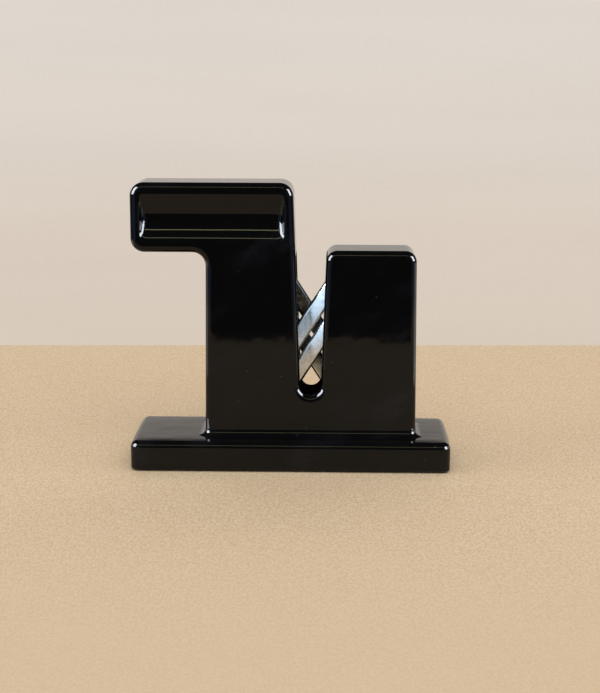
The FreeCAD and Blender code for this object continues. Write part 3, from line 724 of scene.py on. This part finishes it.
def milky_nylon():
    material, tree, shader = start_material("milky_nylon")
    place = coordinates(tree)
    clouds = noise(tree, place, NYLON_CLOUDS_PER_METRE, 3.0)
    grain = noise(tree, place, NYLON_GRAIN_PER_METRE)
    fill_sockets(tree, shader, NYLON_GLOW,
                 {"Base Color": two_colours(tree, clouds, *NYLON_MILKS),
                  "Roughness": spread(tree, clouds, MOST_OF_NOISE, NYLON_ROUGHNESS),
                  "Normal": bump(tree, grain, NYLON_GRAIN_DEPTH)})
    return material


def grained_plastic():
    """Black moulded plastic with a fine spark-eroded grain."""
    material, tree, shader = start_material("grained_plastic")
    grain = noise(tree, coordinates(tree), COVER_GRAIN_PER_METRE, 3.0, 0.6)
    flow = noise(tree, coordinates(tree, COVER_FLOW_PER_METRE), 1.0)
    fill_sockets(tree, shader, None,
                 {"Base Color": two_colours(tree, flow, *COVER_BLACKS),
                  "Roughness": spread(tree, grain, MOST_OF_NOISE, COVER_ROUGHNESS),
                  "Normal": bump(tree, grain, COVER_GRAIN_DEPTH)})
    return material


nylon, plastic = milky_nylon(), grained_plastic()
print("made", nylon.name, "and", plastic.name)

# %% Rubber and zinc
RUBBER_BLACK = (0.016, 0.016, 0.017)
RUBBER_DUST = (0.060, 0.056, 0.050)
RUBBER_DUST_PER_METRE = 320.0
RUBBER_DUST_BAND = (0.45, 0.80)
RUBBER_PORES_PER_METRE = 3600.0
RUBBER_ROUGHNESS = (0.68, 0.88)
RUBBER_PORE_DEPTH = 0.00003
ZINC_FILMS = ((0.60, 0.62, 0.66), (0.70, 0.67, 0.58))
ZINC_FILMS_PER_METRE = 500.0
ZINC_GRAIN_PER_METRE = 2600.0
ZINC_ROUGHNESS = (0.26, 0.42)
ZINC_GRAIN_DEPTH = 0.000004


def soft_rubber():
    """Dark rubber, dull, with dust held in its pores."""
    material, tree, shader = start_material("soft_rubber")
    place = coordinates(tree)
    pores = noise(tree, place, RUBBER_PORES_PER_METRE)
    dust = noise(tree, place, RUBBER_DUST_PER_METRE, 4.0, 0.7)
    dusty = spread(tree, dust, RUBBER_DUST_BAND)
    fill_sockets(tree, shader, None,
                 {"Base Color": two_colours(tree, dusty, RUBBER_BLACK, RUBBER_DUST),
                  "Roughness": spread(tree, dust, MOST_OF_NOISE, RUBBER_ROUGHNESS),
                  "Normal": bump(tree, pores, RUBBER_PORE_DEPTH)})
    return material


def zinc_plate():
    """Bright zinc on the screws, faintly yellow and blue."""
    material, tree, shader = start_material("zinc_plate")
    place = coordinates(tree)
    film = noise(tree, place, ZINC_FILMS_PER_METRE, 3.0)
    grain = noise(tree, place, ZINC_GRAIN_PER_METRE)
    fill_sockets(tree, shader, {"Metallic": 1.0},
                 {"Base Color": two_colours(tree, film, *ZINC_FILMS),
                  "Roughness": spread(tree, grain, MOST_OF_NOISE, ZINC_ROUGHNESS),
                  "Normal": bump(tree, grain, ZINC_GRAIN_DEPTH)})
    return material


rubber, zinc = soft_rubber(), zinc_plate()
print("made", rubber.name, "and", zinc.name)

# %% [markdown]
# ## Dressing the solids
# The frame's pieces come with plain materials that only carry the name of a finish. Each is swapped
# for the node tree of that finish. The two steels share a finish but not a grain direction, so each
# gets a tree of its own.

# %% Dress the frame's pieces
finishes = {
    "enamel": enamel,
    "pin_steel": rod,
    "spring_steel": wire,
    "cover_plastic": plastic,
    "nylon": nylon,
    "screw_zinc": zinc,
    "foot_rubber": rubber,
}
for node_name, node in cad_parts.items():
    slot_name = node.material_slots[0].material.name
    node.material_slots[0].material = steels.get(node_name) or finishes[slot_name]
    print(node_name, "wears", node.material_slots[0].material.name)

# %% [markdown]
# ## Torsion springs
# Each steel is held against its stop by a spring of round wire: one leg bears on a rib of the
# casting, then come three and a half turns round the pivot, and a leg hooked through the steel. A
# Screw modifier would wind the turns but not the legs, so the path is worked out as points, and
# Geometry Nodes sweep a circle along it.
# The right spring is the left one turned half round the slot.

# %% Spring path
PIVOT_X = -0.0131293
PIVOT_Z = 0.0245210
COIL_RADIUS = 0.0044
COIL_TURNS = 3
COIL_STAY_Y = 0.0072
COIL_HOOK_Y = 0.00155
STAY_END = (0.000674, 0.0408)
HOOK_REACH = 0.012
HOOK_ANGLE = 57.5
HOOK_BEND = 0.0013
HOOK_BEND_STEP = 10
HOOK_END_Y = -0.0041
POINTS_PER_TURN = 48


def round_pivot(radius, angle, y):
    """A point round the left pivot, with the angle counted from +X towards +Z."""
    return Vector((PIVOT_X + radius * math.cos(angle), y, PIVOT_Z + radius * math.sin(angle)))


def spring_path():
    """Points along the left spring's wire, from the end of its stay leg to the end of its hook."""
    stay_x, stay_z = STAY_END[0] - PIVOT_X, STAY_END[1] - PIVOT_Z
    stay_reach, stay_angle = math.hypot(stay_x, stay_z), math.atan2(stay_z, stay_x)
    first = stay_angle - math.acos(COIL_RADIUS / stay_reach)
    last = math.radians(HOOK_ANGLE) + math.acos(COIL_RADIUS / HOOK_REACH)
    while last > first - math.tau * COIL_TURNS:
        last -= math.tau
    steps = round((first - last) / math.tau * POINTS_PER_TURN)
    points = [round_pivot(stay_reach, stay_angle, COIL_STAY_Y)]
    for i in range(steps + 1):
        share = i / steps
        y = COIL_STAY_Y + share * (COIL_HOOK_Y - COIL_STAY_Y)
        points.append(round_pivot(COIL_RADIUS, first + share * (last - first), y))
    hook = round_pivot(HOOK_REACH, math.radians(HOOK_ANGLE), COIL_HOOK_Y)
    along = (hook - points[-1]).normalized() * HOOK_BEND
    through = Vector((0, -HOOK_BEND, 0))
    for degrees in range(0, 91, HOOK_BEND_STEP):
        turn = math.radians(degrees)
        bent = along * math.sin(turn) - through * math.cos(turn)
        points.append(hook - along + through + bent)
    points.append(Vector((hook.x, HOOK_END_Y, hook.z)))
    return points


left_path = spring_path()
right_path = [Vector((2 * SLOT_X - p.x, -p.y, p.z)) for p in left_path]
wire_length = sum((b - a).length for a, b in zip(left_path, left_path[1:]))
print("spring wire is", round(wire_length, 4), "m long")

# %% Helpers for geometry nodes


def start_tree(name, sockets):
    """A geometry node tree with named inputs. Returns it with its input and output nodes."""
    tree = bpy.data.node_groups.new(name, "GeometryNodeTree")
    tree.interface.new_socket("Geometry", in_out="INPUT", socket_type="NodeSocketGeometry")
    for socket, kind in sockets.items():
        tree.interface.new_socket(socket, in_out="INPUT", socket_type=f"NodeSocket{kind}")
    tree.interface.new_socket("Geometry", in_out="OUTPUT", socket_type="NodeSocketGeometry")
    inputs = tree.nodes.new("NodeGroupInput").outputs
    return tree, inputs, tree.nodes.new("NodeGroupOutput").inputs


def end_tree(tree, shape, finish, way_out):
    """Close a tree: real geometry in place of instances, smooth, in its finish."""
    for kind, links in (("RealizeInstances", {}), ("SetShadeSmooth", {}),
                        ("SetMaterial", {"Material": finish})):
        shape = add_node(tree, f"GeometryNode{kind}", links={"Geometry": shape, **links}).outputs[0]
    tree.links.new(shape, way_out["Geometry"])


def grow(name, seed_data, tree, values):
    """Run a tree on a seed object and keep its result as a plain mesh piece."""
    seed = bpy.data.objects.new(f"{name}_seed", seed_data)
    bpy.context.scene.collection.objects.link(seed)
    modifier = seed.modifiers.new("grow", "NODES")
    modifier.node_group = tree
    for item in tree.interface.items_tree:
        if item.in_out == "INPUT" and item.name in values:
            modifier[item.identifier] = values[item.name]
    ready = seed.evaluated_get(bpy.context.evaluated_depsgraph_get())
    mesh = bpy.data.meshes.new_from_object(ready)
    mesh.name = name
    seed.modifiers.remove(modifier)
    bpy.data.objects.remove(seed)
    piece = bpy.data.objects.new(name, mesh)
    bpy.context.scene.collection.objects.link(piece)
    return piece


print("helpers for geometry nodes are ready")

# %% Springs
WIRE_RADIUS = 0.0006
WIRE_SIDES = 16


def wire_tree():
    """Sweeps a round wire along a curve."""
    tree, inputs, way_out = start_tree(
        "round_wire", {"Wire Radius": "Float", "Sides": "Int", "Finish": "Material"})
    circle = add_node(tree, "GeometryNodeCurvePrimitiveCircle", {"mode": "RADIUS"}, None,
                      {"Resolution": inputs["Sides"], "Radius": inputs["Wire Radius"]})
    swept = add_node(tree, "GeometryNodeCurveToMesh", None, {"Fill Caps": True},
                     {"Curve": inputs["Geometry"], "Profile Curve": circle.outputs["Curve"]})
    end_tree(tree, swept.outputs["Mesh"], inputs["Finish"], way_out)
    return tree


def path_curve(name, points):
    curve = bpy.data.curves.new(name, "CURVE")
    curve.dimensions = "3D"
    line = curve.splines.new("POLY")
    line.points.add(len(points) - 1)
    for point, place in zip(line.points, points):
        point.co = (*place, 1.0)
    return curve


round_wire = wire_tree()
springs = (
    ("left", left_path, "front_steel_body", PIVOT_X, 1),
    ("right", right_path, "rear_steel_body", 2 * SLOT_X - PIVOT_X, -1),
)
for side, path, steel_body, pivot_x, way in springs:
    spring = grow(f"{side}_spring_wire", path_curve(f"{side}_spring_path", path), round_wire,
                  {"Wire Radius": WIRE_RADIUS, "Sides": WIRE_SIDES,
                   "Finish": finishes["spring_steel"]})
    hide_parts(f"{side}_torsion_spring")
    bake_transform(spring)
    print(spring.name, "has", len(spring.data.polygons), "faces")

# %% [markdown]
# ## Cover screws
# Four countersunk screws hold the cover. One blank is turned as a lathe would turn it, with a
# tapered cross pressed into its head, and Geometry Nodes wind a thread on it and set the four in
# place, each turned to its own angle, because no two screws stop alike.

# %% Lathe and punch
LATHE_STEPS = 48
DRIVE_HALF_LENGTH = 0.0021
DRIVE_HALF_WIDTH = 0.00045
DRIVE_DEPTH = 0.0012
DRIVE_END_SHARE = 0.55


def lathe(profile, name):
    """A closed turned body from (radius, height) pairs that start and end on the axis."""
    turned = bmesh.new()
    poles = [turned.verts.new((0, 0, end[1])) for end in (profile[0], profile[-1])]
    angles = [math.tau * i / LATHE_STEPS for i in range(LATHE_STEPS)]
    rings = []
    for radius, z in profile[1:-1]:
        rings.append([turned.verts.new((radius * math.cos(a), radius * math.sin(a), z))
                      for a in angles])
    for i in range(LATHE_STEPS):
        j = (i + 1) % LATHE_STEPS
        turned.faces.new((poles[0], rings[0][j], rings[0][i]))
        turned.faces.new((poles[1], rings[-1][i], rings[-1][j]))
        for low, high in zip(rings, rings[1:]):
            turned.faces.new((low[i], low[j], high[j], high[i]))
    mesh = bpy.data.meshes.new(name)
    turned.to_mesh(mesh)
    turned.free()
    return mesh


def cross_punch():
    """The tapered cross that is pressed into a head, pointing up from below the face."""
    long, wide, share = DRIVE_HALF_LENGTH, DRIVE_HALF_WIDTH, DRIVE_END_SHARE
    outline = [(long, -wide), (long, wide), (wide, wide), (wide, long),
               (-wide, long), (-wide, wide), (-long, wide), (-long, -wide),
               (-wide, -wide), (-wide, -long), (wide, -long), (wide, -wide)]
    punch = bmesh.new()
    low = [punch.verts.new((x, y, -DRIVE_DEPTH / 2)) for x, y in outline]
    high = [punch.verts.new((x * share, y * share, DRIVE_DEPTH)) for x, y in outline]
    punch.faces.new(low[::-1])
    punch.faces.new(high)
    for i in range(len(outline)):
        j = (i + 1) % len(outline)
        punch.faces.new((low[i], low[j], high[j], high[i]))
    mesh = bpy.data.meshes.new("cross_punch")
    punch.to_mesh(mesh)
    punch.free()
    return mesh


print("the cross is", DRIVE_DEPTH, "m deep")

# %% Screw blank
SCREW_LENGTH = 0.009
SCREW_HEAD_RADIUS = 0.0038
SCREW_HEAD_HEIGHT = 0.0019
SCREW_HEAD_EDGE = 0.00025
SCREW_CORE_RADIUS = 0.0015
SCREW_TIP_LENGTH = 0.0012
SCREW_TIP_RADIUS = 0.0006
SCREW_PROFILE = [
    (0, 0),
    (SCREW_HEAD_RADIUS - SCREW_HEAD_EDGE, 0),
    (SCREW_HEAD_RADIUS, SCREW_HEAD_EDGE),
    (SCREW_CORE_RADIUS, SCREW_HEAD_HEIGHT),
    (SCREW_CORE_RADIUS, SCREW_LENGTH - SCREW_TIP_LENGTH),
    (SCREW_TIP_RADIUS, SCREW_LENGTH),
    (0, SCREW_LENGTH),
]


def screw_blank():
    """A turned blank, tip up, with its head's face at height 0 and the cross pressed into it."""
    blank = bpy.data.objects.new("screw_blank", lathe(SCREW_PROFILE, "screw_blank"))
    punch = bpy.data.objects.new("cross_punch", cross_punch())
    for tool in (blank, punch):
        bpy.context.scene.collection.objects.link(tool)
    pressed = blank.modifiers.new("press", "BOOLEAN")
    pressed.operation = "DIFFERENCE"
    pressed.solver = "EXACT"
    pressed.object = punch
    ready = blank.evaluated_get(bpy.context.evaluated_depsgraph_get())
    blank.data = bpy.data.meshes.new_from_object(ready)
    blank.modifiers.remove(pressed)
    bpy.data.objects.remove(punch)
    return blank


blank = screw_blank()
print("a screw blank has", len(blank.data.polygons), "faces")

# %% Thread and places
SPIRAL_STEPS = 40
RIDGE_SIDES = 4
SCREW_INPUTS = {
    "Blank": "Object", "Crest Radius": "Float", "Ridge Radius": "Float", "Thread Length": "Float",
    "Thread Turns": "Float", "Thread From": "Float", "Seed": "Int", "Finish": "Material",
}


def thread(tree, inputs):
    """A ridge swept along a helix, from its start height up."""
    middle = arithmetic(tree, "SUBTRACT", inputs["Crest Radius"], inputs["Ridge Radius"])
    helix = add_node(tree, "GeometryNodeCurveSpiral", None, {"Resolution": SPIRAL_STEPS},
                     {"Rotations": inputs["Thread Turns"], "Start Radius": middle,
                      "End Radius": middle, "Height": inputs["Thread Length"]}).outputs["Curve"]
    rise = add_node(tree, "ShaderNodeCombineXYZ", links={"Z": inputs["Thread From"]}).outputs[0]
    raised = add_node(tree, "GeometryNodeTransform",
                      links={"Geometry": helix, "Translation": rise}).outputs[0]
    ridge = add_node(tree, "GeometryNodeCurvePrimitiveCircle", {"mode": "RADIUS"},
                     {"Resolution": RIDGE_SIDES}, {"Radius": inputs["Ridge Radius"]})
    return add_node(tree, "GeometryNodeCurveToMesh", None, {"Fill Caps": True},
                    {"Curve": raised, "Profile Curve": ridge.outputs["Curve"]}).outputs["Mesh"]


def screw_tree():
    """Winds a thread on a blank and sets one on every point, turned by chance from a fixed seed."""
    tree, inputs, way_out = start_tree("cover_screw_set", SCREW_INPUTS)
    body = add_node(tree, "GeometryNodeObjectInfo", links={"Object": inputs["Blank"]})
    screw = tree.nodes.new("GeometryNodeJoinGeometry")
    tree.links.new(body.outputs["Geometry"], screw.inputs["Geometry"])
    tree.links.new(thread(tree, inputs), screw.inputs["Geometry"])
    chance = add_node(tree, "FunctionNodeRandomValue", {"data_type": "FLOAT_VECTOR"},
                      {"Min": (0, 0, 0), "Max": (0, 0, math.tau)}, {"Seed": inputs["Seed"]})
    points = add_node(tree, "GeometryNodeMeshToPoints", links={"Mesh": inputs["Geometry"]})
    placed = add_node(tree, "GeometryNodeInstanceOnPoints",
                      links={"Points": points.outputs[0], "Instance": screw.outputs[0],
                             "Rotation": chance.outputs["Value"]}).outputs[0]
    end_tree(tree, placed, inputs["Finish"], way_out)
    return tree


screw_set = screw_tree()
print(screw_set.name, "is a tree of", len(screw_set.nodes), "nodes")

# %% Four screws
SCREW_FACE_Z = 0.0011
SCREW_SEED = 7
THREAD_CREST_RADIUS = 0.00195
THREAD_RIDGE_RADIUS = 0.00040
THREAD_PITCH = 0.0012
THREAD_FROM = 0.0026
THREAD_TURNS = 4.2

low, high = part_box("cover_screws")
inset = SCREW_HEAD_RADIUS
places = bpy.data.meshes.new("screw_places")
places.from_pydata([(x, y, SCREW_FACE_Z) for x in (low[0] + inset, high[0] - inset)
                    for y in (low[1] + inset, high[1] - inset)], [], [])
screws = grow("cover_screw_set", places, screw_set, {
    "Blank": blank, "Crest Radius": THREAD_CREST_RADIUS, "Ridge Radius": THREAD_RIDGE_RADIUS,
    "Thread Length": THREAD_TURNS * THREAD_PITCH, "Thread Turns": THREAD_TURNS,
    "Thread From": THREAD_FROM, "Seed": SCREW_SEED, "Finish": finishes["screw_zinc"]})
bpy.data.objects.remove(blank)
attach(screws, "housing_body")
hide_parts("cover_screws")
print("screws have", len(screws.data.polygons), "faces in all")
